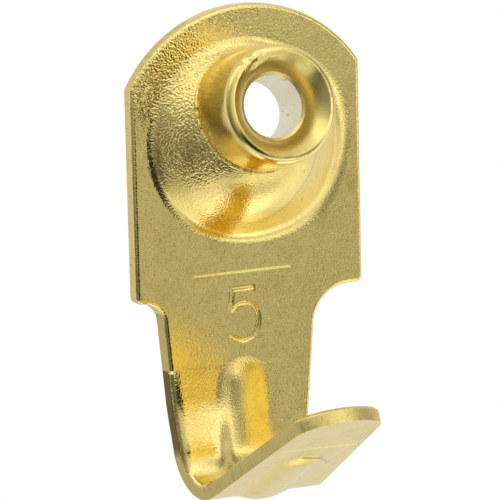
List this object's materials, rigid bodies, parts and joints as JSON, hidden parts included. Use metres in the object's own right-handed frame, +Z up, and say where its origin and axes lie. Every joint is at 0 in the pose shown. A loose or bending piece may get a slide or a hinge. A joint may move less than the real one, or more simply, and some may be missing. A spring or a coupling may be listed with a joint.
{
  "type": "picture hook",
  "caption": "Small stamped brass-plated wall hook: flat arched plate, drawn dome with a raised, countersunk and tilted nail collar, and a shank folded up into a lip that holds a picture wire.",
  "frame": {"origin": "on the plate's back face, at the plate's middle, level with the two shoulders under it", "axes": "+Y into the wall, square to the plate's back face; +Z up along the plate; +X to the right as seen from in front"},
  "size_m": [0.011, 0.0111, 0.0215],
  "materials": {
    "brass_plate": "bright brass plating on pressed steel sheet"
  },
  "bodies": {
    "root": {"picture_hook": "brass_plate"}
  },
  "joints": []
}
